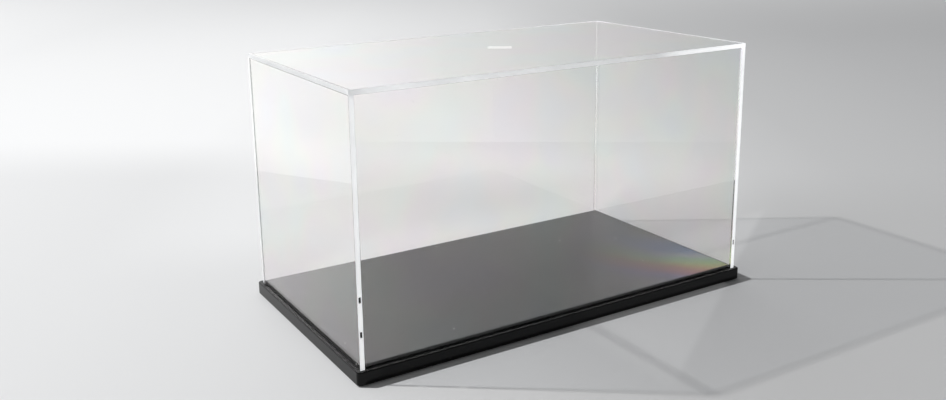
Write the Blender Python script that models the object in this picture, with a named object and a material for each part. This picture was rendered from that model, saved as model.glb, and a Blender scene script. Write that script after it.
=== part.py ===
"""Display case for scale models: a clear acrylic cover that lifts off a black moulded base.

Units are metres, +Z is up and the long front panel faces -Y. The origin lies on the table, under
the middle of the base. The cover is five flat sheets bonded into an open-bottomed box. Its walls
stand in a groove that the plinth's rim and the deck plate leave between them.
"""

from math import cos, pi, sin, tau

import bmesh
import bpy
from mathutils import Matrix

MM = 0.001

# Driving dimensions
BASE_LENGTH = 312 * MM
BASE_DEPTH = 172 * MM
RIM_HEIGHT = 8.3 * MM  # the plinth's side face
FOOT_PROUD = 1.0 * MM  # how far the feet hold the plinth off the table
LEDGE = 3 * MM  # rim left showing outside the cover
SHEET = 3 * MM  # acrylic thickness
COVER_ABOVE_RIM = 168 * MM

# Clearances
FIT = 0.25 * MM  # cover to rim, each side
DECK_FIT = 0.3 * MM  # cover to deck plate, each side
REST = 0.3 * MM  # between pieces that stand on each other
BOND = 0.15 * MM  # solvent-bonded joint between two sheets
SHEET_EDGE = 0.15 * MM  # broken edge of a sawn sheet

# Plinth
PLINTH_CORNER = 2.5 * MM
RIM_FILLET = 0.6 * MM
RIM_LEAD_IN = 0.3 * MM
POCKET_CORNER = 0.4 * MM
POCKET_DEPTH = 2.8 * MM
PLINTH_FLOOR = 2.0 * MM
PLINTH_WALL = 3.0 * MM
RIB = 1.4 * MM
RIB_SET_BACK = 0.8 * MM  # the ribs stop this far above the plinth's lower edge
RIB_PITCH = 52 * MM
RIB_X = [i * RIB_PITCH for i in (-2, -1, 0, 1, 2)]
RIB_Y = [i * RIB_PITCH for i in (-1, 0, 1)]

# Deck plate
DECK_PROUD = 2.0 * MM  # above the rim
DECK_PLATE = 2.0 * MM
DECK_SKIRT = 1.6 * MM
DECK_CORNER = 1.0 * MM
DECK_FILLET = 0.5 * MM
DECK_RIB = 1.2 * MM
GATE_MARK_RADIUS = 1.4 * MM
GATE_MARK_DEPTH = 0.25 * MM

# Screws, from below, through the plinth's floor into bosses under the deck, where its ribs cross
SCREW_X = [i * RIB_PITCH for i in (-2, 0, 2)]
SCREW_Y = [i * RIB_PITCH for i in (-1, 1)]
SCREW_PLACES = [(x, y) for x in SCREW_X for y in SCREW_Y]
SCREW_HOLE_RADIUS = 1.7 * MM
SCREW_PILOT_RADIUS = 1.55 * MM
SCREW_SHANK_RADIUS = 1.4 * MM
SCREW_TIP_RADIUS = 0.3 * MM
SCREW_HEAD_RADIUS = 2.8 * MM
SCREW_HEAD_HEIGHT = 1.4 * MM
SCREW_TIP_COVER = 1.0 * MM  # deck left above the pilot hole
COUNTERBORE_RADIUS = 3.2 * MM
COUNTERBORE_TOP = 3.6 * MM
PLINTH_BOSS_RADIUS = 5.0 * MM
DECK_BOSS_RADIUS = 3.5 * MM
# Shares of the head's radius and height: its profile from crown to seat, and the cross recess
HEAD_PROFILE = [(0.55, 0), (0.85, 0.25), (1, 0.6), (1, 1)]
CROSS_MOUTH_REACH, CROSS_MOUTH_ARM = 0.5, 0.13
CROSS_BOTTOM_REACH, CROSS_BOTTOM_ARM = 0.2, 0.1
CROSS_DEPTH = 0.75

# Feet, stuck into recesses near the corners
FOOT_RADIUS = 6.0 * MM
FOOT_HEIGHT = 1.9 * MM
FOOT_EDGE = 0.5 * MM
FOOT_INSET = 13.5 * MM
FOOT_RECESS_RADIUS = 6.3 * MM
FOOT_PAD_RADIUS = 10.8 * MM
FOOT_PAD_SET_BACK = 0.3 * MM

# Levels, worked out from the above
PLINTH_BOTTOM = FOOT_PROUD
RIM_TOP = PLINTH_BOTTOM + RIM_HEIGHT
POCKET_FLOOR = RIM_TOP - POCKET_DEPTH
UNDER_FLOOR = POCKET_FLOOR - PLINTH_FLOOR
DECK_BOTTOM = POCKET_FLOOR + REST
DECK_TOP = RIM_TOP + DECK_PROUD
UNDER_DECK = DECK_TOP - DECK_PLATE
WALL_BOTTOM = POCKET_FLOOR + REST
COVER_TOP = RIM_TOP + COVER_ABOVE_RIM
UNDER_TOP_PANEL = COVER_TOP - SHEET
WALL_TOP = UNDER_TOP_PANEL - BOND
COVER_LENGTH = BASE_LENGTH - 2 * LEDGE
COVER_DEPTH = BASE_DEPTH - 2 * LEDGE
DECK_LENGTH = COVER_LENGTH - 2 * (SHEET + DECK_FIT)
DECK_DEPTH = COVER_DEPTH - 2 * (SHEET + DECK_FIT)

PAST = 1 * MM  # how far a cutter runs past the face it cuts
SINK = 0.2 * MM  # how far an added boss sinks into what it joins
CORNER_STEPS = 5
FILLET_STEPS = 3
ROUND_SIDES = 32
SCREW_SIDES = 16


def clear_scene():
    for obj in list(bpy.data.objects):
        bpy.data.objects.remove(obj, do_unlink=True)


def make_material(name, colour, roughness, metallic=0.0, alpha=1.0):
    material = bpy.data.materials.new(name)
    material.use_nodes = True
    shader = material.node_tree.nodes["Principled BSDF"]
    shader.inputs["Base Color"].default_value = (*colour, 1)
    shader.inputs["Roughness"].default_value = roughness
    shader.inputs["Metallic"].default_value = metallic
    shader.inputs["Alpha"].default_value = alpha
    return material


def make_group(name):
    """An empty that the pieces of one body hang from."""
    group = bpy.data.objects.new(name, None)
    bpy.context.collection.objects.link(group)
    return group


def arc(radius, start, end, steps):
    for i in range(steps + 1):
        angle = start + (end - start) * i / steps
        yield radius * cos(angle), radius * sin(angle)


def rounded_rectangle(length, depth, corner):
    """Points of a rectangle with round corners, anticlockwise and centred on the origin."""
    points = []
    for quarter, (sx, sy) in enumerate(((1, 1), (-1, 1), (-1, -1), (1, -1))):
        start = quarter * pi / 2
        for x, y in arc(corner, start, start + pi / 2, CORNER_STEPS):
            points.append((sx * (length / 2 - corner) + x, sy * (depth / 2 - corner) + y))
    return points


def circle(radius, sides=ROUND_SIDES):
    return [(radius * cos(tau * i / sides), radius * sin(tau * i / sides)) for i in range(sides)]


def loft(mesh, sections, at=(0, 0)):
    """Adds a closed solid through outlines of equal point count, each one (height, points)."""
    rings = []
    for height, points in sections:
        ring = [mesh.verts.new((at[0] + x, at[1] + y, height)) for x, y in points]
        rings.append(ring)
    for lower, upper in zip(rings, rings[1:]):
        for i, corner in enumerate(lower):
            nxt = (i + 1) % len(lower)
            mesh.faces.new((corner, lower[nxt], upper[nxt], upper[i]))
    mesh.faces.new(list(reversed(rings[0])))
    mesh.faces.new(rings[-1])


def box(mesh, low, high):
    """Adds a closed box between two corners."""
    middle = [(a + b) / 2 for a, b in zip(low, high)]
    size = [b - a for a, b in zip(low, high)]
    place = Matrix.Translation(middle) @ Matrix.Diagonal((*size, 1))
    bmesh.ops.create_cube(mesh, size=1, matrix=place)


def place_object(name, mesh, material, parent=None, location=(0, 0, 0)):
    """Turns a bmesh into an object; parent is the empty of its body."""
    data = bpy.data.meshes.new(name)
    mesh.to_mesh(data)
    mesh.free()
    if material:
        data.materials.append(material)
    obj = bpy.data.objects.new(name, data)
    bpy.context.collection.objects.link(obj)
    obj.parent = parent
    obj.location = location
    return obj


def shade_round(obj, sharp_angle=pi / 5):
    obj.data.shade_smooth()
    obj.data.set_sharp_from_angle(angle=sharp_angle)


def apply_boolean(obj, operation, name, tool_mesh):
    """Adds an exact Boolean to obj, with tool_mesh as its hidden tool."""
    tool = place_object(name, tool_mesh, None, obj)
    tool.hide_render = True
    tool.display_type = "WIRE"
    modifier = obj.modifiers.new(name, "BOOLEAN")
    modifier.operation = operation
    modifier.solver = "EXACT"
    modifier.object = tool


def cylinders(places, radius, low, high, sides=ROUND_SIDES):
    """One mesh that holds an upright cylinder at each place."""
    mesh = bmesh.new()
    for place in places:
        loft(mesh, [(low, circle(radius, sides)), (high, circle(radius, sides))], place)
    return mesh


def rib_cells(length, depth, rib, ribs_x, ribs_y, low, high):
    """The boxes that are left between crossing ribs, inside length by depth."""
    mesh = bmesh.new()
    edges_x = [-length / 2 - rib / 2, *ribs_x, length / 2 + rib / 2]
    edges_y = [-depth / 2 - rib / 2, *ribs_y, depth / 2 + rib / 2]
    for x0, x1 in zip(edges_x, edges_x[1:]):
        for y0, y1 in zip(edges_y, edges_y[1:]):
            box(mesh, (x0 + rib / 2, y0 + rib / 2, low), (x1 - rib / 2, y1 - rib / 2, high))
    return mesh


def fillet_sections(length, depth, corner, top, fillet):
    """Outlines that round the top edge of a rectangular block over to its top face."""
    sections = []
    for out, up in arc(fillet, 0, pi / 2, FILLET_STEPS):
        inset = fillet - out
        outline = rounded_rectangle(length - 2 * inset, depth - 2 * inset, corner - inset)
        sections.append((top - fillet + up, outline))
    return sections


def make_plinth(material, parent):
    mesh = bmesh.new()
    foot_line = rounded_rectangle(BASE_LENGTH, BASE_DEPTH, PLINTH_CORNER)
    rim = fillet_sections(BASE_LENGTH, BASE_DEPTH, PLINTH_CORNER, RIM_TOP, RIM_FILLET)
    loft(mesh, [(PLINTH_BOTTOM, foot_line), *rim])
    plinth = place_object("plinth", mesh, material, parent)

    def pocket_outline(grow):
        size = FIT + grow
        return rounded_rectangle(COVER_LENGTH + 2 * size, COVER_DEPTH + 2 * size, POCKET_CORNER + grow)

    pocket = bmesh.new()
    straight = pocket_outline(0)
    flared = pocket_outline(RIM_LEAD_IN + PAST)
    loft(pocket, [(POCKET_FLOOR, straight), (RIM_TOP - RIM_LEAD_IN, straight), (RIM_TOP + PAST, flared)])
    apply_boolean(plinth, "DIFFERENCE", "cut_pocket", pocket)

    inner_length = BASE_LENGTH - 2 * PLINTH_WALL
    inner_depth = BASE_DEPTH - 2 * PLINTH_WALL
    hollow = bmesh.new()
    outline = rounded_rectangle(inner_length, inner_depth, POCKET_CORNER)
    loft(hollow, [(PLINTH_BOTTOM - PAST, outline), (PLINTH_BOTTOM + RIB_SET_BACK, outline)])
    apply_boolean(plinth, "DIFFERENCE", "cut_under_ribs", hollow)

    cells = rib_cells(inner_length, inner_depth, RIB, RIB_X, RIB_Y, PLINTH_BOTTOM - PAST, UNDER_FLOOR)
    apply_boolean(plinth, "DIFFERENCE", "cut_cells", cells)

    boss_bottom = PLINTH_BOTTOM + RIB_SET_BACK + SINK
    bosses = cylinders(SCREW_PLACES, PLINTH_BOSS_RADIUS, boss_bottom, UNDER_FLOOR + SINK)
    apply_boolean(plinth, "UNION", "add_screw_bosses", bosses)
    pad_bottom = PLINTH_BOTTOM + FOOT_PAD_SET_BACK
    pads = cylinders(foot_places().values(), FOOT_PAD_RADIUS, pad_bottom, UNDER_FLOOR + SINK)
    apply_boolean(plinth, "UNION", "add_foot_pads", pads)

    bores = cylinders(SCREW_PLACES, COUNTERBORE_RADIUS, PLINTH_BOTTOM - PAST, COUNTERBORE_TOP)
    apply_boolean(plinth, "DIFFERENCE", "cut_counterbores", bores)
    holes = cylinders(SCREW_PLACES, SCREW_HOLE_RADIUS, PLINTH_BOTTOM, RIM_TOP)
    apply_boolean(plinth, "DIFFERENCE", "cut_screw_holes", holes)
    recesses = cylinders(foot_places().values(), FOOT_RECESS_RADIUS, -PAST, FOOT_HEIGHT + REST)
    apply_boolean(plinth, "DIFFERENCE", "cut_foot_recesses", recesses)
    shade_round(plinth)


def make_deck_plate(material, parent):
    mesh = bmesh.new()
    skirt_line = rounded_rectangle(DECK_LENGTH, DECK_DEPTH, DECK_CORNER)
    rim = fillet_sections(DECK_LENGTH, DECK_DEPTH, DECK_CORNER, DECK_TOP, DECK_FILLET)
    loft(mesh, [(DECK_BOTTOM, skirt_line), *rim])
    deck = place_object("deck_plate", mesh, material, parent)

    inner_length = DECK_LENGTH - 2 * DECK_SKIRT
    inner_depth = DECK_DEPTH - 2 * DECK_SKIRT
    cells = rib_cells(inner_length, inner_depth, DECK_RIB, SCREW_X, SCREW_Y, DECK_BOTTOM - PAST, UNDER_DECK)
    apply_boolean(deck, "DIFFERENCE", "cut_under_deck", cells)
    bosses = cylinders(SCREW_PLACES, DECK_BOSS_RADIUS, DECK_BOTTOM + SINK / 2, UNDER_DECK + SINK)
    apply_boolean(deck, "UNION", "add_deck_bosses", bosses)
    pilot_top = DECK_TOP - SCREW_TIP_COVER
    pilots = cylinders(SCREW_PLACES, SCREW_PILOT_RADIUS, DECK_BOTTOM - PAST, pilot_top)
    apply_boolean(deck, "DIFFERENCE", "cut_pilot_holes", pilots)

    gate_mark = bmesh.new()
    mouth = GATE_MARK_RADIUS * (1 + PAST / GATE_MARK_DEPTH / 2)
    bottom = circle(GATE_MARK_RADIUS / 2, SCREW_SIDES)
    loft(gate_mark, [(DECK_TOP - GATE_MARK_DEPTH, bottom), (DECK_TOP + PAST, circle(mouth, SCREW_SIDES))])
    apply_boolean(deck, "DIFFERENCE", "cut_gate_mark", gate_mark)
    shade_round(deck)


def cross_outline(reach, arm):
    """A plus sign with arms of half-width arm that reach out to reach."""
    quarter = [(reach, -arm), (reach, arm), (arm, arm)]
    points = []
    for turn in range(4):
        angle = turn * pi / 2
        for x, y in quarter:
            points.append((x * cos(angle) - y * sin(angle), x * sin(angle) + y * cos(angle)))
    return points


def make_deck_screws(material, parent):
    """Pan-head screws, head down, with a tapered cross recess."""
    seat = COUNTERBORE_TOP - REST
    crown = seat - SCREW_HEAD_HEIGHT
    tip = DECK_TOP - SCREW_TIP_COVER - SINK
    head = [(r * SCREW_HEAD_RADIUS, crown + h * SCREW_HEAD_HEIGHT) for r, h in HEAD_PROFILE]
    taper = tip - SCREW_SHANK_RADIUS
    shank = [(SCREW_SHANK_RADIUS, seat), (SCREW_SHANK_RADIUS, taper), (SCREW_TIP_RADIUS, tip)]
    for number, (x, y) in enumerate(SCREW_PLACES, 1):
        mesh = bmesh.new()
        loft(mesh, [(z, circle(radius, SCREW_SIDES)) for radius, z in head + shank])
        screw = place_object(f"deck_screw_{number}", mesh, material, parent, (x, y, 0))
        recess = bmesh.new()
        mouth = cross_outline(CROSS_MOUTH_REACH * SCREW_HEAD_RADIUS, CROSS_MOUTH_ARM * SCREW_HEAD_RADIUS)
        bottom = cross_outline(CROSS_BOTTOM_REACH * SCREW_HEAD_RADIUS, CROSS_BOTTOM_ARM * SCREW_HEAD_RADIUS)
        loft(recess, [(crown - SINK, mouth), (crown + CROSS_DEPTH * SCREW_HEAD_HEIGHT, bottom)])
        apply_boolean(screw, "DIFFERENCE", f"cut_cross_{number}", recess)
        shade_round(screw)


def foot_places():
    x = BASE_LENGTH / 2 - FOOT_INSET
    y = BASE_DEPTH / 2 - FOOT_INSET
    return {
        "foot_front_left": (-x, -y),
        "foot_front_right": (x, -y),
        "foot_back_left": (-x, y),
        "foot_back_right": (x, y),
    }


def make_feet(material, parent):
    """Low round rubber feet with a rolled lower edge."""
    for name, (x, y) in foot_places().items():
        sections = []
        for out, down in arc(FOOT_EDGE, pi / 2, 0, FILLET_STEPS):
            sections.append((FOOT_EDGE - down, circle(FOOT_RADIUS - FOOT_EDGE + out)))
        sections.append((FOOT_HEIGHT, circle(FOOT_RADIUS)))
        mesh = bmesh.new()
        loft(mesh, sections)
        foot = place_object(name, mesh, material, parent, (x, y, 0))
        shade_round(foot)


def make_cover(material, parent):
    """Side panels run the full depth, the front and back panels fit between them, and the top
    panel lies over all four."""
    half_length = COVER_LENGTH / 2
    half_depth = COVER_DEPTH / 2
    between = half_length - SHEET - BOND
    corners = {
        "left_panel": ((-half_length, -half_depth), (-half_length + SHEET, half_depth)),
        "right_panel": ((half_length - SHEET, -half_depth), (half_length, half_depth)),
        "front_panel": ((-between, -half_depth), (between, -half_depth + SHEET)),
        "back_panel": ((-between, half_depth - SHEET), (between, half_depth)),
        "top_panel": ((-half_length, -half_depth), (half_length, half_depth)),
    }
    for name, (low, high) in corners.items():
        bottom, top = WALL_BOTTOM, WALL_TOP
        if name == "top_panel":
            bottom, top = UNDER_TOP_PANEL, COVER_TOP
        mesh = bmesh.new()
        box(mesh, (*low, bottom), (*high, top))
        panel = place_object(name, mesh, material, parent)
        edges = panel.modifiers.new("broken_edges", "BEVEL")
        edges.width = SHEET_EDGE
        edges.segments = 1


def main():
    clear_scene()
    clear_acrylic = make_material("clear_acrylic", (0.93, 0.95, 0.96), 0.03, alpha=0.25)
    black_abs = make_material("black_abs", (0.012, 0.012, 0.013), 0.42)
    deck_black = make_material("deck_black", (0.014, 0.014, 0.015), 0.28)
    zinc_steel = make_material("zinc_steel", (0.62, 0.63, 0.65), 0.35, metallic=1.0)
    black_rubber = make_material("black_rubber", (0.02, 0.02, 0.02), 0.8)

    base = make_group("base")
    make_plinth(black_abs, base)
    make_deck_plate(deck_black, base)
    make_deck_screws(zinc_steel, base)
    make_feet(black_rubber, base)

    cover = make_group("cover")
    make_cover(clear_acrylic, cover)


main()
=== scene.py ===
"""Acrylic display case: the visual model.

The black base keeps its CAD shape and gets its real materials. The five acrylic sheets are made
again here as finer pieces: clear polished faces, pale sawn edges, a small chamfer all round, bond
lines that are almost closed, and three chips in the sawn front edges. Metres, +Z up, +X to the
right when facing the long front panel.
"""

import math

import bmesh
import bpy
from mathutils import Matrix, Vector

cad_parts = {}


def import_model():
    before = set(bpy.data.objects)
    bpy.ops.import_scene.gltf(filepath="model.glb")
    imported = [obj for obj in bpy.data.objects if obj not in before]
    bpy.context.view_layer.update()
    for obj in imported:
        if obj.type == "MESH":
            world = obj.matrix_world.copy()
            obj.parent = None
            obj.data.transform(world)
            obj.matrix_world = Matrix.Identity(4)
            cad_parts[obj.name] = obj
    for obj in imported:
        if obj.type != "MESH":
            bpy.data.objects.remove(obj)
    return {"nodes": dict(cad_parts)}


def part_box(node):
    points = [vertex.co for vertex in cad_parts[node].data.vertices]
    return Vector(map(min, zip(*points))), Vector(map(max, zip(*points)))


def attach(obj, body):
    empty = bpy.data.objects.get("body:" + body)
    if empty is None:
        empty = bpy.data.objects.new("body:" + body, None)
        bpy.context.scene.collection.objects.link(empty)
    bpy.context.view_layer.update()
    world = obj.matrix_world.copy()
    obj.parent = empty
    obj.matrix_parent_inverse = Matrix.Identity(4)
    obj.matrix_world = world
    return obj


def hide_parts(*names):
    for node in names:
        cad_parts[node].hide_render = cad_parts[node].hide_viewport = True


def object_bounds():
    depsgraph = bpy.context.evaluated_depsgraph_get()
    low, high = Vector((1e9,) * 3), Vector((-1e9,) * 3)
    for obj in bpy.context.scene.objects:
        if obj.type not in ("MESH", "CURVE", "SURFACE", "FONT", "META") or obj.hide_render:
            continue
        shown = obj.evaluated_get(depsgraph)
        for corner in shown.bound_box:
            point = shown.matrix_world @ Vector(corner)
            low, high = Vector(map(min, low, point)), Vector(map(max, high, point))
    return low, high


MM = 0.001

# acrylic sheets
BOND = 0.02 * MM  # what is left open at each bonded joint
CHAMFER = 0.14 * MM  # on every edge of a sheet
ACRYLIC_IOR = 1.49
CHIP_HEIGHT = 5.0 * MM
CHIP_MARGIN = 0.9 * MM  # left of the edge on either side of a chip
CHIP_RIM = 0.12 * MM  # the width of a chip's sloping sides
CHIP_DEPTH = 0.7 * MM
CHIP_SKEW = 0.3 * MM  # how far a chip's floor leans up on one side and down on the other
LEFT_CHIPS = (31.6 * MM, 53.3 * MM)  # heights of the chips in the left sheet's front edge
RIGHT_CHIPS = (29.3 * MM,)

# deck, and the reflections painted into it
FRINGE_CENTRE_OUT = 51 * MM  # the middle of the painted coloured bands, beyond the deck's right end
FRINGE_CENTRE_BACK = 109 * MM  # and back from its front edge
FRINGE_ORDERS = 6.25  # lengths of the bands' colour ramp to each metre from that middle
BRIGHT_END = 120 * MM  # the stretch at the left end with a painted brighter reflection, where it mirrors a little more
BRIGHT_END_SHARE = 0.065

# studio
FLOOR_RADIUS = 9.0
PAPER_CURVE = (3.0, 8.0)  # how far out the paper starts and ends its curve up into the walls
KEY_AZIMUTH = 146.2  # where the light comes from, in degrees from +X towards +Y
KEY_ELEVATION = 41.5
KEY_DISTANCE = 4.8
KEY_DIAMETER = 0.14
KEY_POWER = 223.0
STRIP_PLACE = (1.617, 2.491, 0.613)  # a small lamp behind the case, mirrored in the top sheet
STRIP_SIZE = (0.090, 0.009)
STRIP_POWER = 0.0010
LEFT_CARD_PLACE = (-0.375, 0.235, 0.12)  # bright cards, mirrored in the upright sheets
LEFT_CARD_SIZE = (0.50, 0.24)
LEFT_CARD_POWER = 0.20
FRONT_CARD_PLACE = (0.33, -0.48, 0.15)
FRONT_CARD_SIZE = (0.60, 0.30)
FRONT_CARD_POWER = 0.85
BRIGHT_WALL = (-0.55, 0.835, 0.0)  # the way to the brightest wall, behind the case on the left
WALL_STRENGTH = 1.7
HORIZON_LEVEL = 0.72  # the walls' brightness at the horizon, as a part of the most
THROWN_LIGHT = 0.08  # painted light: emission in the paper for what the sheets mirror of the key lamp's light, where it lands on the floor
THROWN_SHARE_FRONT = 0.8  # of that, next to what the back sheet throws
THROWN_SHARE_RIGHT = 0.6

# camera
CAMERA_PLACE = (-0.3696, -0.5693, 0.2774)
CAMERA_HEADING = 31.35  # degrees from +Y towards +X
CAMERA_DOWN = 13.91
CAMERA_ROLL = -0.72
CAMERA_LENS = 37.28
SENSOR_WIDTH = 36.0
CAMERA_SHIFT_Y = -0.0603


class Tree:
    """A node tree under construction, with short calls for the nodes used here."""

    def __init__(self, tree):
        self.tree = tree
        tree.nodes.clear()

    def add(self, kind, settings=None, **sockets):
        """A new node; sockets holds values or output sockets to link, by socket name."""
        node = self.tree.nodes.new(kind)
        for name, value in (settings or {}).items():
            setattr(node, name, value)
        for name, value in sockets.items():
            self.put(node.inputs[name.replace("_", " ")], value)
        return node

    def put(self, socket, value):
        if isinstance(value, bpy.types.NodeSocket):
            self.tree.links.new(value, socket)
        else:
            socket.default_value = value

    def math(self, operation, a, b=0.0, c=0.0):
        node = self.tree.nodes.new("ShaderNodeMath")
        node.operation = operation
        for socket, value in zip(node.inputs, (a, b, c)):
            self.put(socket, value)
        return node.outputs[0]

    def span(self, value, low, high, to_low=0.0, to_high=1.0, smooth=True):
        """value taken from low..high to to_low..to_high, with soft ends if smooth."""
        node = self.tree.nodes.new("ShaderNodeMapRange")
        node.interpolation_type = "SMOOTHSTEP" if smooth else "LINEAR"
        for name, number in (("Value", value), ("From Min", low), ("From Max", high),
                             ("To Min", to_low), ("To Max", to_high)):
            self.put(node.inputs[name], number)
        return node.outputs["Result"]

    def ramp(self, factor, stops):
        """A colour ramp through (place, colour) stops, where a colour may be one grey value."""
        node = self.tree.nodes.new("ShaderNodeValToRGB")
        elements = node.color_ramp.elements
        while len(elements) < len(stops):
            elements.new(0.5)
        for element, (place, colour) in zip(elements, stops):
            element.position = place
            colour = (colour,) * 3 if isinstance(colour, float) else colour
            element.color = (*colour, 1.0)
        self.put(node.inputs["Fac"], factor)
        return node.outputs["Color"]

    def noise(self, vector, scale, detail=2.0, roughness=0.5):
        node = self.add("ShaderNodeTexNoise", Vector=vector, Scale=scale, Detail=detail,
                        Roughness=roughness)
        return node.outputs["Fac"]

    def specks(self, vector, scale, size):
        """1 in small round specks, about one to each cell of that scale, and 0 elsewhere."""
        cells = self.add("ShaderNodeTexVoronoi", Vector=vector, Scale=scale)
        return self.math("LESS_THAN", cells.outputs["Distance"], size)

    def distance(self, place, centre):
        return self.vector_math("DISTANCE", place, centre)

    def dot(self, first, second):
        return self.vector_math("DOT_PRODUCT", first, second)

    def vector_math(self, operation, first, second):
        """A number worked out from a linked vector and a fixed one."""
        node = self.add("ShaderNodeVectorMath", {"operation": operation})
        self.put(node.inputs[0], first)
        self.put(node.inputs[1], second)
        return node.outputs["Value"]

    def mix(self, factor, first, second):
        node = self.tree.nodes.new("ShaderNodeMixShader")
        self.put(node.inputs[0], factor)
        self.put(node.inputs[1], first)
        self.put(node.inputs[2], second)
        return node.outputs[0]

    def blend(self, factor, first, second, way="MIX"):
        node = self.tree.nodes.new("ShaderNodeMix")
        node.data_type = "RGBA"
        node.blend_type = way
        self.put(node.inputs[0], factor)
        self.put(node.inputs[6], first)
        self.put(node.inputs[7], second)
        return node.outputs[2]

    def bump(self, height, strength, distance):
        node = self.add("ShaderNodeBump", Height=height, Strength=strength, Distance=distance)
        return node.outputs["Normal"]


def new_material(name):
    material = bpy.data.materials.new(name)
    material.use_nodes = True
    tree = Tree(material.node_tree)
    place = tree.add("ShaderNodeTexCoord").outputs["Object"]
    return material, tree, place


def finish_material(tree, surface):
    output = tree.tree.nodes.new("ShaderNodeOutputMaterial")
    tree.put(output.inputs["Surface"], surface)


def strain_tint(tree, place):
    """The faint colours that strain leaves in cast sheet."""
    drift = tree.noise(place, 14.0, 2.0, 0.6)
    return tree.ramp(drift, (
        (0.30, (0.986, 0.992, 1.0)), (0.43, (0.990, 1.0, 0.990)), (0.50, (1.0, 0.997, 0.986)),
        (0.58, (1.0, 0.986, 0.990)), (0.72, (0.992, 0.990, 1.0))))


def painted_fringe_reflection(tree, place, centre, corner):
    """A painted reflection: the stronger colours of the strained sheets, painted into the deck's
    gloss as if the deck mirrored them.

    They are bands round a centre. Returns their colour and their strength, which is highest at one
    corner of the deck and 0 on faces that don't look up.
    """
    drift = tree.noise(place, 30.0, 2.0)
    order = tree.math("MULTIPLY_ADD", tree.distance(place, centre), FRINGE_ORDERS,
                      tree.math("MULTIPLY_ADD", drift, 0.10, -0.05))
    colour = tree.ramp(order, (
        (0.37, (0.80, 0.80, 0.80)), (0.47, (0.45, 0.63, 1.0)), (0.57, (0.45, 0.63, 1.0)),
        (0.625, (0.87, 0.95, 1.0)), (0.67, (0.68, 1.0, 0.70)), (0.72, (0.78, 1.0, 0.50)),
        (0.756, (1.0, 0.90, 0.42)), (0.80, (1.0, 0.58, 0.38)), (0.85, (1.0, 0.50, 0.55)),
        (0.91, (0.70, 0.60, 1.0)), (1.0, (0.80, 0.80, 0.80))))
    strength = tree.ramp(tree.math("MULTIPLY", tree.distance(place, corner), 8.0), (
        (0.12, 0.34), (0.28, 0.25), (0.42, 0.13), (0.55, 0.09), (0.75, 0.03), (0.95, 0.0)))
    facing = tree.add("ShaderNodeNewGeometry").outputs["Normal"]
    upward = tree.add("ShaderNodeSeparateXYZ", Vector=facing).outputs["Z"]
    return colour, tree.math("MULTIPLY", strength, tree.span(upward, 0.7, 0.95))


def make_clear_acrylic():
    """Polished faces of the sheets. A lamp's light passes straight through them."""
    material, tree, place = new_material("clear_acrylic_face")
    glass = tree.add("ShaderNodeBsdfGlass", Color=strain_tint(tree, place), Roughness=0.0,
                     IOR=ACRYLIC_IOR)
    smear = tree.span(tree.noise(place, 22.0, 4.0, 0.6), 0.45, 0.8, 0.002, 0.012)
    dust = tree.math("MULTIPLY", tree.specks(place, 260.0, 0.05), 0.35)
    haze = tree.add("ShaderNodeBsdfDiffuse", Color=(0.9, 0.91, 0.92, 1.0))
    face = tree.mix(tree.math("MAXIMUM", smear, dust), glass.outputs[0], haze.outputs[0])
    passing = tree.add("ShaderNodeBsdfTransparent", Color=(0.957, 0.959, 0.962, 1.0))
    path = tree.add("ShaderNodeLightPath")
    finish_material(tree, tree.mix(path.outputs["Is Shadow Ray"], face, passing.outputs[0]))
    return material


def make_sawn_acrylic(name, painted_glow_stops):
    """Sawn edges of the sheets: fine saw marks, and a painted glow, emission that stands in for the
    light that the sheets gather.

    Most of that light leaves on the side away from the key lamp, so painted_glow_stops give the
    painted glow's strength at places along the case, from the left end at 0 to the right end at 1.
    """
    material, tree, place = new_material(name)
    marks = tree.noise(place, 900.0, 3.0, 0.6)
    patches = tree.noise(place, 35.0, 3.0, 0.55)
    colour = tree.ramp(patches, ((0.3, (0.84, 0.85, 0.86)), (0.7, (0.96, 0.97, 0.97))))
    normal = tree.bump(marks, 0.25, 0.05 * MM)
    low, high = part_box("front_panel")
    axes = tree.add("ShaderNodeSeparateXYZ", Vector=place)
    across = tree.span(axes.outputs["X"], low[0], high[0], smooth=False)
    glow = tree.ramp(across, painted_glow_stops)
    glow = tree.math("MULTIPLY", glow, tree.span(patches, 0.3, 0.7, 0.92, 1.04))
    # no painted glow on the lower edges, where none of the gathered light leaves
    glow = tree.math("MULTIPLY", glow, tree.span(axes.outputs["Z"], low[2], low[2] + 1.5 * MM))
    skin = tree.add("ShaderNodeBsdfPrincipled", Base_Color=colour, Roughness=0.3,
                    Normal=normal, Emission_Strength=glow)
    skin.inputs["Emission Color"].default_value = (0.97, 0.985, 1.0, 1.0)
    through = tree.add("ShaderNodeBsdfTranslucent", Color=colour, Normal=normal)
    surface = tree.mix(0.5, skin.outputs[0], through.outputs[0])
    passing = tree.add("ShaderNodeBsdfTransparent", Color=(0.45, 0.45, 0.46, 1.0))
    path = tree.add("ShaderNodeLightPath")
    finish_material(tree, tree.mix(path.outputs["Is Shadow Ray"], surface, passing.outputs[0]))
    return material


def make_moulded_black():
    """The plinth: moulded ABS with a fine spark-eroded texture."""
    material, tree, place = new_material("black_abs_moulded")
    grain = tree.noise(place, 2200.0, 2.0, 0.6)
    patches = tree.noise(place, 40.0, 3.0)
    colour = tree.ramp(patches, (
        (0.3, (0.0022, 0.0022, 0.0024)), (0.7, (0.0040, 0.0040, 0.0042))))
    roughness = tree.span(patches, 0.3, 0.7, 0.15, 0.21)
    shell = tree.add("ShaderNodeBsdfPrincipled", Base_Color=colour, Roughness=roughness,
                     Normal=tree.bump(grain, 0.15, 0.02 * MM))
    shell.inputs["Specular IOR Level"].default_value = 0.20
    finish_material(tree, shell.outputs[0])
    return material


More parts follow.
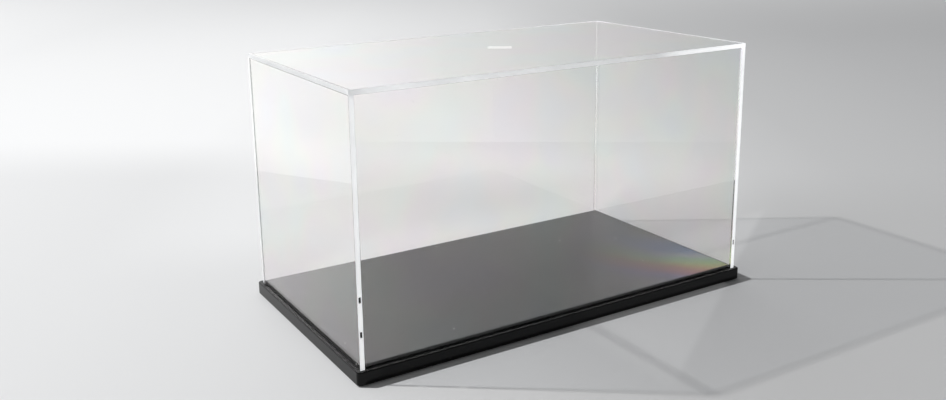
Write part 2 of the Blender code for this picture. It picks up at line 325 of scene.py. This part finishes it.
def make_deck_black(low, high):
    """The deck: the same plastic from a smoother mould, with a little dust on it, and painted
    reflections: coloured bands near its right front corner and a brighter left end.

    low and high are the lowest and highest corners of its box.
    """
    material, tree, place = new_material("deck_black_satin")
    grain = tree.noise(place, 1500.0, 3.0, 0.6)
    patches = tree.noise(place, 18.0, 4.0, 0.6)
    dust = tree.specks(place, 55.0, 0.035)
    base = tree.ramp(patches, ((0.3, (0.0100, 0.0100, 0.0108)), (0.7, (0.0140, 0.0138, 0.0142))))
    colour = tree.blend(dust, base, (0.5, 0.5, 0.48, 1.0))
    roughness = tree.span(patches, 0.3, 0.75, 0.20, 0.27)
    normal = tree.bump(grain, 0.12, 0.02 * MM)
    deck = tree.add("ShaderNodeBsdfPrincipled", Base_Color=colour, Roughness=roughness,
                    Normal=normal)
    centre = (high[0] + FRINGE_CENTRE_OUT, low[1] + FRINGE_CENTRE_BACK, high[2])
    fringe, strength = painted_fringe_reflection(tree, place, centre, (high[0], low[1], high[2]))
    across = tree.add("ShaderNodeSeparateXYZ", Vector=place).outputs["X"]
    # painted reflection: more gloss mixed in towards the left end
    painted_sheen = tree.span(across, low[0] + BRIGHT_END, low[0], 0.0, BRIGHT_END_SHARE)
    strength = tree.math("MAXIMUM", strength, painted_sheen)
    # painted reflection: the gloss takes the painted colour bands, strongest at the right front
    # corner
    mirrored = tree.add("ShaderNodeBsdfGlossy", Color=fringe, Roughness=0.25, Normal=normal)
    finish_material(tree, tree.mix(strength, deck.outputs[0], mirrored.outputs[0]))
    return material


def make_zinc():
    """Screws: bright zinc plate, slightly cloudy."""
    material, tree, place = new_material("zinc_plate")
    cloud = tree.noise(place, 600.0, 4.0, 0.6)
    colour = tree.ramp(cloud, ((0.3, (0.50, 0.52, 0.55)), (0.7, (0.70, 0.71, 0.72))))
    metal = tree.add("ShaderNodeBsdfPrincipled", Base_Color=colour, Metallic=1.0,
                     Roughness=tree.span(cloud, 0.3, 0.7, 0.25, 0.42),
                     Normal=tree.bump(cloud, 0.1, 0.02 * MM))
    finish_material(tree, metal.outputs[0])
    return material


def make_rubber():
    """Feet: matt black rubber with a bloom of dust."""
    material, tree, place = new_material("black_rubber_matt")
    bloom = tree.noise(place, 180.0, 4.0, 0.65)
    colour = tree.ramp(bloom, ((0.35, (0.016, 0.016, 0.016)), (0.75, (0.045, 0.044, 0.042))))
    rubber = tree.add("ShaderNodeBsdfPrincipled", Base_Color=colour, Roughness=0.8,
                      Normal=tree.bump(tree.noise(place, 1200.0), 0.3, 0.05 * MM))
    finish_material(tree, rubber.outputs[0])
    return material


def thrown_light(tree, out, along, wall, travel, reach, blur, fade):
    """1 on the floor where an upright wall throws the key lamp's light back, 0 elsewhere.

    out is the distance before the wall, and along is the place along it. travel is how far the
    light runs along the wall for each metre away from it, and reach is how far out it gets for
    each metre of height. wall holds the wall's ends and its lower and upper edge. blur is the
    softness of the ends, and fade is the part of its full reach from which the light dies away.
    """
    start, end, foot, head = wall
    along = tree.math("MULTIPLY_ADD", out, -travel, along)
    ends = tree.math("MULTIPLY", tree.span(along, start - blur, start + blur),
                     tree.span(along, end + blur, end - blur))
    edges = tree.math("MULTIPLY", tree.span(out, foot * reach, foot * reach + 2 * MM),
                      tree.span(out, head * reach, fade * head * reach))
    return tree.math("MULTIPLY", ends, edges)


def make_thrown_light(tree, place):
    """Painted light: the key lamp's light as it is mirrored by the back, front and right sheets,
    for the paper to give off as emission.
    """
    azimuth, steepness = math.radians(KEY_AZIMUTH), math.tan(math.radians(KEY_ELEVATION))
    run_x, run_y = -math.cos(azimuth), math.sin(azimuth)
    axes = tree.add("ShaderNodeSeparateXYZ", Vector=place)
    x, y = axes.outputs["X"], axes.outputs["Y"]
    patches = []
    for node, blur, fade in (("back_panel", 20 * MM, 0.3), ("front_panel", 6 * MM, 0.7)):
        low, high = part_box(node)
        patches.append(thrown_light(
            tree, tree.math("SUBTRACT", y, high[1]), x, (low[0], high[0], low[2], high[2]),
            run_x / run_y, run_y / steepness, blur, fade))
    low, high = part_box("right_panel")
    patches.append(thrown_light(
        tree, tree.math("SUBTRACT", low[0], x), y, (low[1], high[1], low[2], high[2]),
        -run_y / run_x, run_x / steepness, 4 * MM, 0.7))
    back, front, right = patches
    return tree.math("MULTIPLY_ADD", right, THROWN_SHARE_RIGHT,
                     tree.math("MULTIPLY_ADD", front, THROWN_SHARE_FRONT, back))


def make_paper(right, ahead):
    """The floor: a sheet of studio paper with painted light: it shades from white on the left,
    where the light falls strongest, to pale grey.

    right and ahead are level directions, in which its shades are laid out.
    """
    material, tree, place = new_material("studio_paper")
    along = tree.dot(place, right)
    depth = tree.dot(place, ahead)
    # from 0 at a metre to the left of the case to 1 at two thirds of a metre to the right
    across = tree.math("MULTIPLY_ADD", along, 0.6, 0.6)
    # painted light falloff: the shades run lighter on the left and darker to the right
    near = tree.ramp(across, (
        (0.42, (0.730, 0.733, 0.738)), (0.54, (0.700, 0.703, 0.708)), (0.60, (0.650, 0.652, 0.656)),
        (0.66, (0.575, 0.577, 0.581)), (0.70, (0.555, 0.557, 0.561))))
    far = tree.ramp(across, (
        (0.05, (0.750, 0.753, 0.758)), (0.39, (0.865, 0.868, 0.873)), (0.60, (0.810, 0.813, 0.818)),
        (0.70, (0.690, 0.693, 0.698)), (0.82, (0.590, 0.593, 0.598)), (1.0, (0.560, 0.563, 0.570))))
    # painted light: a little paler just behind the case
    beside = tree.math("MULTIPLY", tree.span(along, -0.36, -0.20), tree.span(along, 0.28, 0.18))
    behind = tree.math("MULTIPLY", tree.span(depth, 0.0, 0.14), tree.span(depth, 0.50, 0.30))
    level = tree.math("MULTIPLY_ADD", tree.math("MULTIPLY", beside, behind), 0.11, 1.0)
    # the far painted shades start behind the case, and nearer on the right
    start = tree.math("MULTIPLY_ADD", tree.span(across, 0.42, 0.72), 0.16, depth)
    tone = tree.blend(tree.span(start, 0.28, 0.48), near, far)
    tone = tree.blend(tree.span(depth, 1.2, 2.6), tone, (0.80, 0.803, 0.808, 1.0))
    tone = tree.add("ShaderNodeVectorMath", {"operation": "SCALE"}, Vector=tone,
                    Scale=level).outputs["Vector"]
    paper = tree.add("ShaderNodeBsdfPrincipled", Base_Color=tone, Roughness=0.6,
                     Normal=tree.bump(tree.noise(place, 350.0, 3.0), 0.05, 0.1 * MM),
                     Emission_Strength=tree.math("MULTIPLY", make_thrown_light(tree, place),
                                                 THROWN_LIGHT))
    paper.inputs["Emission Color"].default_value = (1.0, 1.0, 1.0, 1.0)
    paper.inputs["Specular IOR Level"].default_value = 0.2
    # far away the paper curves up into the wall
    outward = tree.add("ShaderNodeVectorMath", {"operation": "NORMALIZE"}, Vector=place)
    wall = tree.add("ShaderNodeEmission", Color=studio_wall(tree, outward.outputs["Vector"]),
                    Strength=WALL_STRENGTH * HORIZON_LEVEL)
    curve = tree.span(tree.distance(place, (0.0, 0.0, 0.0)), *PAPER_CURVE)
    finish_material(tree, tree.mix(curve, paper.outputs[0], wall.outputs[0]))
    return material


def make_sheet(name, low, high, sawn, faces, edges, chips=()):
    """A sheet of acrylic between two corners, riding on the cover.

    sawn lists the outward directions of its exposed sawn edges, whose chamfers are sawn too. Its
    other faces are clear. chips are the heights of small chips in the front edge.
    """
    low, high = Vector(low), Vector(high)
    mesh = bpy.data.meshes.new(name)
    bm = bmesh.new()
    bmesh.ops.create_cube(bm, size=1.0)
    for vertex in bm.verts:
        vertex.co = Vector(
            (low[i] + high[i]) / 2 + vertex.co[i] * (high[i] - low[i]) for i in range(3))
    bmesh.ops.bevel(bm, geom=list(bm.edges), offset=CHAMFER, segments=2, profile=0.5,
                    affect="EDGES")
    bm.normal_update()
    for face in bm.faces:
        face.material_index = int(any(face.normal.dot(Vector(d)) > 0.3 for d in sawn))
    for height in chips:
        cut_chip(bm, height)
    bm.to_mesh(mesh)
    bm.free()
    mesh.materials.append(faces)
    mesh.materials.append(edges)
    piece = bpy.data.objects.new(name, mesh)
    bpy.context.scene.collection.objects.link(piece)
    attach(piece, "cover")
    return piece


def cut_chip(bm, height):
    """Sinks a small clear chip into the flat of the front edge at a height."""
    def front_faces():
        return [f for f in bm.faces if f.normal.y < -0.99]

    def face_at(target):
        return min(front_faces(), key=lambda f: (f.calc_center_median() - target).length)

    corners = [v.co for f in front_faces() for v in f.verts]
    middle = (min(c.x for c in corners) + max(c.x for c in corners)) / 2
    target = Vector((middle, corners[0].y, height))
    for level in (height - CHIP_HEIGHT / 2, height + CHIP_HEIGHT / 2):
        front = [f for f in front_faces()
                 if min(v.co.z for v in f.verts) < level < max(v.co.z for v in f.verts)]
        # dict.fromkeys drops repeats and keeps the order
        edges = list(dict.fromkeys(e for f in front for e in f.edges))
        vertices = list(dict.fromkeys(v for f in front for v in f.verts))
        bmesh.ops.bisect_plane(bm, geom=front + edges + vertices, plane_co=(0.0, 0.0, level),
                               plane_no=(0.0, 0.0, 1.0))
    for margin in (CHIP_MARGIN, CHIP_RIM):
        bmesh.ops.inset_individual(bm, faces=[face_at(target)], thickness=margin, depth=0.0)
    chip = face_at(target)
    for vertex in chip.verts:
        skew = CHIP_SKEW if vertex.co.x < middle else -CHIP_SKEW
        vertex.co += Vector((0.0, CHIP_DEPTH, skew))
    for edge in chip.edges:
        for face in edge.link_faces:
            face.material_index = 0


def make_cover(faces, wall_edges, top_edges):
    """The five sheets, with their bonded joints closed to a hair line."""
    left_low, left_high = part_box("left_panel")
    right_low, right_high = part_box("right_panel")
    top_low, top_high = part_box("top_panel")
    front_low, front_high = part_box("front_panel")
    back_low, back_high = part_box("back_panel")
    wall_top = top_low[2] - BOND
    inner_left = left_high[0] + BOND
    inner_right = right_low[0] - BOND
    sides = ((0, -1, 0), (0, 1, 0), (0, 0, -1))

    pieces = (
        ("top_sheet", "top_panel", top_low, top_high,
         ((-1, 0, 0), (1, 0, 0), (0, -1, 0), (0, 1, 0)), ()),
        ("left_sheet", "left_panel", left_low, (left_high[0], left_high[1], wall_top),
         sides, LEFT_CHIPS),
        ("right_sheet", "right_panel", right_low, (right_high[0], right_high[1], wall_top),
         sides, RIGHT_CHIPS),
        ("front_sheet", "front_panel", (inner_left, front_low[1], front_low[2]),
         (inner_right, front_high[1], wall_top), ((0, 0, -1),), ()),
        ("back_sheet", "back_panel", (inner_left, back_low[1], back_low[2]),
         (inner_right, back_high[1], wall_top), ((0, 0, -1),), ()),
    )
    sheets = bpy.data.collections.new("sheets")
    for name, node, low, high, sawn, chips in pieces:
        edges = top_edges if node == "top_panel" else wall_edges
        sheet = make_sheet(name, low, high, sawn, faces, edges, chips)
        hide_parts(node)
        sheets.objects.link(sheet)
    return sheets


def paint(nodes, material):
    """Gives CAD nodes, whose shapes are right as they are, their real material."""
    for node in nodes:
        for material_slot in node.material_slots:
            material_slot.material = material


def make_floor(material):
    """A round sheet on the table plane that reaches out of sight."""
    mesh = bpy.data.meshes.new("floor")
    bm = bmesh.new()
    bmesh.ops.create_circle(bm, cap_ends=True, radius=FLOOR_RADIUS, segments=96)
    bm.to_mesh(mesh)
    bm.free()
    mesh.materials.append(material)
    floor = bpy.data.objects.new("floor", mesh)
    bpy.context.scene.collection.objects.link(floor)


def studio_wall(tree, direction):
    """The colour of the studio's walls in a direction."""
    around = tree.math("MULTIPLY_ADD", tree.dot(direction, BRIGHT_WALL), 0.5, 0.5)
    wall = tree.ramp(around, (
        (0.0, 0.128), (0.40, 0.224), (0.60, 0.40), (0.72, 0.58), (0.79, 0.80), (0.86, 0.88),
        (1.0, 0.90)))
    return tree.blend(1.0, wall, (0.985, 0.993, 1.0, 1.0), "MULTIPLY")


def make_world():
    """The studio's walls, which light the case softly and are mirrored in its sheets."""
    world = bpy.data.worlds.new("studio")
    bpy.context.scene.world = world
    world.use_nodes = True
    # or the walls' light would count twice behind the sheets: refracted, and let straight through
    world.cycles.sampling_method = "NONE"
    tree = Tree(world.node_tree)
    direction = tree.add("ShaderNodeTexCoord").outputs["Generated"]
    wall = studio_wall(tree, direction)
    height = tree.add("ShaderNodeSeparateXYZ", Vector=direction).outputs["Z"]
    level = tree.ramp(height, (
        (0.0, HORIZON_LEVEL), (0.16, 0.78), (0.30, 1.0), (0.45, 0.95), (0.70, 0.30), (1.0, 0.18)))
    colour = tree.blend(1.0, wall, level, "MULTIPLY")
    background = tree.add("ShaderNodeBackground", Color=colour, Strength=WALL_STRENGTH)
    output = tree.tree.nodes.new("ShaderNodeOutputWorld")
    tree.put(output.inputs["Surface"], background.outputs[0])


def make_lamp(name, place, target, shape, size, power, mirrored):
    data = bpy.data.lights.new(name, "AREA")
    data.shape = shape
    data.size = size[0]
    if len(size) > 1:
        data.size_y = size[1]
    data.energy = power
    lamp = bpy.data.objects.new(name, data)
    # unless it is there to be mirrored, its light only comes straight through the sheets
    lamp.visible_transmission = lamp.visible_glossy = mirrored
    place, target = Vector(place), Vector(target)
    lamp.matrix_world = Matrix.Translation(place) @ (
        (target - place).to_track_quat("-Z", "Y").to_matrix().to_4x4())
    bpy.context.scene.collection.objects.link(lamp)
    return lamp


def make_lights(centre, sheets):
    """The key lamp, and the lamps that only the sheets mirror. centre is the case's foot."""
    azimuth, elevation = math.radians(KEY_AZIMUTH), math.radians(KEY_ELEVATION)
    away = Vector((math.cos(azimuth) * math.cos(elevation),
                   math.sin(azimuth) * math.cos(elevation), math.sin(elevation)))
    make_lamp("key", centre + away * KEY_DISTANCE, centre, "DISK", (KEY_DIAMETER,), KEY_POWER,
              mirrored=False)
    mirrored = (("strip", STRIP_PLACE, STRIP_SIZE, STRIP_POWER),
                ("left_card", LEFT_CARD_PLACE, LEFT_CARD_SIZE, LEFT_CARD_POWER),
                ("front_card", FRONT_CARD_PLACE, FRONT_CARD_SIZE, FRONT_CARD_POWER))
    for name, place, size, power in mirrored:
        target = (centre.x, centre.y, place[2])
        lamp = make_lamp(name, place, target, "RECTANGLE", size, power, mirrored=True)
        lamp.visible_camera = lamp.visible_diffuse = lamp.visible_transmission = False
        lamp.light_linking.receiver_collection = sheets
        if name != "strip":
            fade_card(lamp.data)


def fade_card(data):
    """Shades a card along its diagonal.

    It is dark at a lower corner, soon at its brightest, and fades towards the opposite corner.
    """
    data.use_nodes = True
    tree = Tree(data.node_tree)
    place = tree.add("ShaderNodeNewGeometry").outputs["Parametric"]
    parts = tree.add("ShaderNodeSeparateXYZ", Vector=place)
    diagonal = tree.math("ADD", parts.outputs["X"], parts.outputs["Y"])
    level = tree.ramp(diagonal, (
        (0.0, 0.0), (0.05, 0.32), (0.10, 0.58), (0.155, 0.72), (0.21, 0.93), (0.30, 1.0),
        (0.37, 0.90), (0.45, 0.62), (0.70, 0.30), (1.0, 0.10)))
    light = tree.add("ShaderNodeEmission", Color=level)
    output = tree.tree.nodes.new("ShaderNodeOutputLight")
    tree.put(output.inputs["Surface"], light.outputs[0])


def camera_axes():
    """The camera's right, up and forward axes."""
    heading, down, roll = (math.radians(a) for a in (CAMERA_HEADING, CAMERA_DOWN, CAMERA_ROLL))
    forward = Vector((math.sin(heading) * math.cos(down), math.cos(heading) * math.cos(down),
                      -math.sin(down)))
    level = forward.cross(Vector((0.0, 0.0, 1.0))).normalized()
    upright = level.cross(forward)
    right = level * math.cos(roll) + upright * math.sin(roll)
    return right, right.cross(forward), forward


def make_camera():
    right, up, forward = camera_axes()
    data = bpy.data.cameras.new("camera")
    data.sensor_fit = "HORIZONTAL"
    data.sensor_width = SENSOR_WIDTH
    data.lens = CAMERA_LENS
    data.shift_y = CAMERA_SHIFT_Y
    data.clip_start, data.clip_end = 0.01, 50.0
    camera = bpy.data.objects.new("camera", data)
    axes = Matrix((right, up, -forward)).transposed()
    camera.matrix_world = Matrix.Translation(CAMERA_PLACE) @ axes.to_4x4()
    bpy.context.scene.collection.objects.link(camera)
    bpy.context.scene.camera = camera


def main():
    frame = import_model()
    cad_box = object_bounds()
    low, high = (Vector(corner) for corner in cad_box)
    nodes = frame["nodes"]

    make_camera()
    make_world()
    right, _, ahead = camera_axes()
    make_floor(make_paper((right.x, right.y, 0.0), (ahead.x, ahead.y, 0.0)))

    # the painted glow's strength along the case, for the upright sheets and the top sheet
    wall_edges = make_sawn_acrylic("clear_acrylic_edge", ((0.0, 0.67), (0.9, 1.0), (1.0, 1.15)))
    top_edges = make_sawn_acrylic("clear_acrylic_top_edge", (
        (0.0, 0.22), (0.03, 0.62), (0.25, 0.55), (0.50, 0.42), (0.73, 0.33), (0.80, 0.85),
        (1.0, 1.15)))
    sheets = make_cover(make_clear_acrylic(), wall_edges, top_edges)
    make_lights(Vector(((low.x + high.x) / 2, (low.y + high.y) / 2, 0.0)), sheets)
    paint([nodes["plinth"]], make_moulded_black())
    paint([nodes["deck_plate"]], make_deck_black(*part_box("deck_plate")))
    paint([node for name, node in nodes.items() if name.startswith("deck_screw")], make_zinc())
    paint([node for name, node in nodes.items() if name.startswith("foot")], make_rubber())

    bpy.context.scene.view_settings.view_transform = "Standard"


main()
